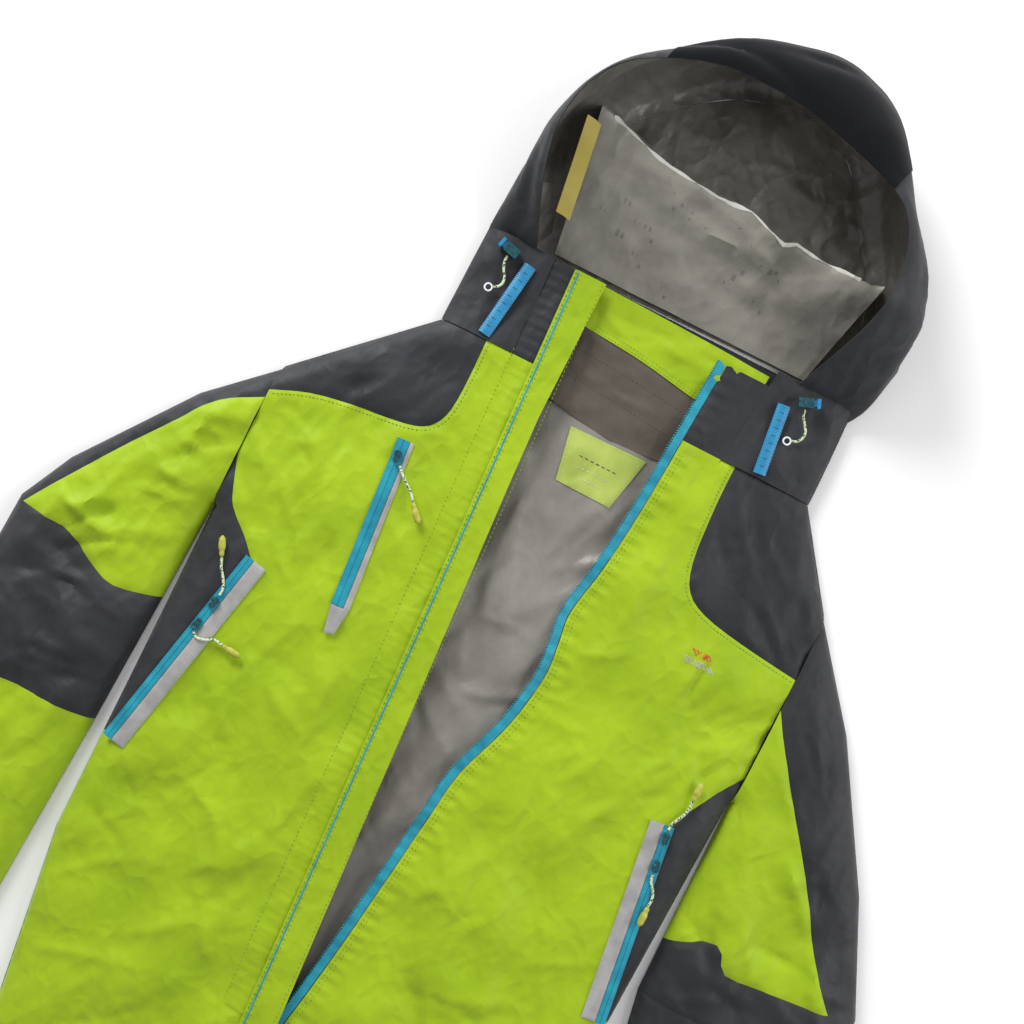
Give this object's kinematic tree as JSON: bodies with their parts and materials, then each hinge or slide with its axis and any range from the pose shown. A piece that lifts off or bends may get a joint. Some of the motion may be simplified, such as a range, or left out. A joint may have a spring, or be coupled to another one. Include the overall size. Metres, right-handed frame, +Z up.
{
  "type": "hardshell jacket",
  "caption": "Hooded waterproof jacket lying on its back, front unzipped, with storm flap, chest and side zips, front edges that fold back, sleeves and hood.",
  "frame": {"origin": "on the outer face of the back panel, on the middle line at the chest, where the jacket lies on the floor", "axes": "+X to the wearer's left, +Y towards the hood, +Z up out of the front"},
  "size_m": [0.928, 1.1651, 0.1045],
  "materials": {
    "lime_shell": "waterproof plain-weave face fabric with a satin film behind it, lime green",
    "charcoal_shell": "ripstop face fabric, charcoal, slightly satin",
    "black_panel": "matt black face fabric",
    "grey_lining": "thin satin taffeta lining, warm grey, creased",
    "blue_tape": "stitched bright blue binding tape",
    "turquoise_zip": "water-resistant coated zip tape, turquoise",
    "silver_welt": "reflective silver-grey laminate",
    "olive_pull": "moulded soft pull end, olive yellow",
    "pale_cord": "braided cord, pale green with dark flecks",
    "zinc_slider": "painted die-cast slider, dark teal",
    "dark_plastic": "moulded acetal, dark navy",
    "blue_plastic": "moulded acetal button, bright blue"
  },
  "bodies": {
    "torso": {"back_panel": "charcoal_shell", "back_lining": "grey_lining", "neck_label": "lime_shell", "collar_back": "charcoal_shell", "right_yoke": "charcoal_shell", "left_yoke": "charcoal_shell", "right_front_panel": "lime_shell", "left_front_panel": "lime_shell", "right_side_panel": "charcoal_shell", "left_side_panel": "charcoal_shell", "right_collar_side": "charcoal_shell", "left_collar_side": "charcoal_shell", "right_adjuster_strip": "blue_tape", "left_adjuster_strip": "blue_tape", "right_cord_lock": "dark_plastic", "left_cord_lock": "dark_plastic", "right_hood_cord": "pale_cord", "left_hood_cord": "pale_cord", "closed_zip": "turquoise_zip", "chest_zip": "turquoise_zip", "chest_welt": "silver_welt", "right_side_zip": "turquoise_zip", "right_side_welt": "silver_welt", "left_side_zip": "turquoise_zip", "left_side_welt": "silver_welt"},
    "hood": {"hood_shell": "charcoal_shell", "hood_brim": "black_panel"},
    "right_edge": {"right_front_edge": "lime_shell"},
    "left_edge": {"left_front_edge": "lime_shell", "left_zip_tape": "turquoise_zip"},
    "flap": {"storm_flap": "lime_shell"},
    "right_sleeve": {"right_sleeve_panel": "lime_shell", "right_sleeve_outer": "charcoal_shell", "right_forearm": "lime_shell", "right_cuff": "charcoal_shell"},
    "left_sleeve": {"left_sleeve_panel": "lime_shell", "left_sleeve_outer": "charcoal_shell", "left_forearm": "charcoal_shell", "left_cuff": "charcoal_shell"},
    "right_tab": {"right_cuff_tab": "black_panel"},
    "left_tab": {"left_cuff_tab": "black_panel"},
    "main_slider": {"main_slider": "zinc_slider"},
    "main_pull": {"main_pull": "olive_pull"},
    "right_button": {"right_lock_button": "blue_plastic"},
    "left_button": {"left_lock_button": "blue_plastic"},
    "chest_slider": {"chest_slider": "zinc_slider"},
    "chest_pull": {"chest_pull_cord": "pale_cord", "chest_pull_end": "olive_pull"},
    "right_upper_slider": {"right_upper_slider": "zinc_slider"},
    "right_upper_pull": {"right_upper_pull_cord": "pale_cord", "right_upper_pull_end": "olive_pull"},
    "right_lower_slider": {"right_lower_slider": "zinc_slider"},
    "right_lower_pull": {"right_lower_pull_cord": "pale_cord", "right_lower_pull_end": "olive_pull"},
    "left_upper_slider": {"left_upper_slider": "zinc_slider"},
    "left_upper_pull": {"left_upper_pull_cord": "pale_cord", "left_upper_pull_end": "olive_pull"},
    "left_lower_slider": {"left_lower_slider": "zinc_slider"},
    "left_lower_pull": {"left_lower_pull_cord": "pale_cord", "left_lower_pull_end": "olive_pull"}
  },
  "joints": [
    {"name": "right_edge_fold", "type": "hinge", "parent": "torso", "child": "right_edge", "pos_m": [-0.098, 0.004, 0.0221], "axis": [0.0531, -0.9986, 0], "range_deg": [0, 80]},
    {"name": "left_edge_fold", "type": "hinge", "parent": "torso", "child": "left_edge", "pos_m": [0.07, 0.004, 0.0221], "axis": [0.1136, 0.9935, 0], "range_deg": [0, 80]},
    {"name": "flap_lift", "type": "hinge", "parent": "right_edge", "child": "flap", "pos_m": [-0.074, -0.066, 0.0264], "axis": [0.0515, -0.9987, 0], "range_deg": [0, 95]},
    {"name": "hood_lift", "type": "hinge", "parent": "torso", "child": "hood", "pos_m": [0.01, 0.3802, 0.026], "axis": [1, 0, 0], "range_deg": [0, 75]},
    {"name": "right_sleeve_fold", "type": "hinge", "parent": "torso", "child": "right_sleeve", "pos_m": [-0.2982, 0, 0.0262], "axis": [0, 1, 0], "range_deg": [0, 140]},
    {"name": "left_sleeve_fold", "type": "hinge", "parent": "torso", "child": "left_sleeve", "pos_m": [0.2562, 0, 0.0262], "axis": [0, -1, 0], "range_deg": [0, 140]},
    {"name": "right_tab_lift", "type": "hinge", "parent": "right_sleeve", "child": "right_tab", "pos_m": [-0.4312, -0.4453, 0.02], "axis": [0, -1, 0], "range_deg": [0, 150]},
    {"name": "left_tab_lift", "type": "hinge", "parent": "left_sleeve", "child": "left_tab", "pos_m": [0.4212, -0.4953, 0.02], "axis": [0, 1, 0], "range_deg": [0, 150]},
    {"name": "main_slider_run", "type": "slide", "parent": "torso", "child": "main_slider", "axis": [0.0286, -0.9996, 0], "range_m": [0, 0.115]},
    {"name": "main_pull_swing", "type": "hinge", "parent": "main_slider", "child": "main_pull", "pos_m": [-0.0276, -0.378, 0.024], "axis": [0, 0, 1], "range_deg": [-12, 12]},
    {"name": "chest_slider_run", "type": "slide", "parent": "torso", "child": "chest_slider", "axis": [0.0851, -0.9964, 0], "range_m": [-0.008, 0.135]},
    {"name": "chest_pull_swing", "type": "hinge", "parent": "chest_slider", "child": "chest_pull", "pos_m": [-0.1585, 0.1435, 0.025], "axis": [0, 0, 1], "range_deg": [-50, 15]},
    {"name": "right_upper_slider_run", "type": "slide", "parent": "torso", "child": "right_upper_slider", "axis": [-0.2043, -0.9789, 0], "range_m": [-0.04, 0.008]},
    {"name": "right_upper_pull_swing", "type": "hinge", "parent": "right_upper_slider", "child": "right_upper_pull", "pos_m": [-0.252, -0.037, 0.025], "axis": [0, 0, 1], "range_deg": [-40, 15]},
    {"name": "right_lower_slider_run", "type": "slide", "parent": "torso", "child": "right_lower_slider", "axis": [-0.2043, -0.9789, 0], "range_m": [0, 0.118]},
    {"name": "right_lower_pull_swing", "type": "hinge", "parent": "right_lower_slider", "child": "right_lower_pull", "pos_m": [-0.2585, -0.0775, 0.025], "axis": [0, 0, 1], "range_deg": [-60, 20]},
    {"name": "left_upper_slider_run", "type": "slide", "parent": "torso", "child": "left_upper_slider", "axis": [0.1298, -0.9915, 0], "range_m": [-0.004, 0.008]},
    {"name": "left_upper_pull_swing", "type": "hinge", "parent": "left_upper_slider", "child": "left_upper_pull", "pos_m": [0.213, -0.042, 0.025], "axis": [0, 0, 1], "range_deg": [-15, 40]},
    {"name": "left_lower_slider_run", "type": "slide", "parent": "torso", "child": "left_lower_slider", "axis": [0.1298, -0.9915, 0], "range_m": [0, 0.135]},
    {"name": "left_lower_pull_swing", "type": "hinge", "parent": "left_lower_slider", "child": "left_lower_pull", "pos_m": [0.219, -0.0855, 0.025], "axis": [0, 0, 1], "range_deg": [-10, 40]},
    {"name": "right_button_press", "type": "slide", "parent": "torso", "child": "right_button", "axis": [0.9686, -0.2487, 0], "range_m": [0, 0.0028], "stiffness_N_per_m": 200},
    {"name": "left_button_press", "type": "slide", "parent": "torso", "child": "left_button", "axis": [-0.9298, -0.3681, 0], "range_m": [0, 0.0028], "stiffness_N_per_m": 200}
  ]
}
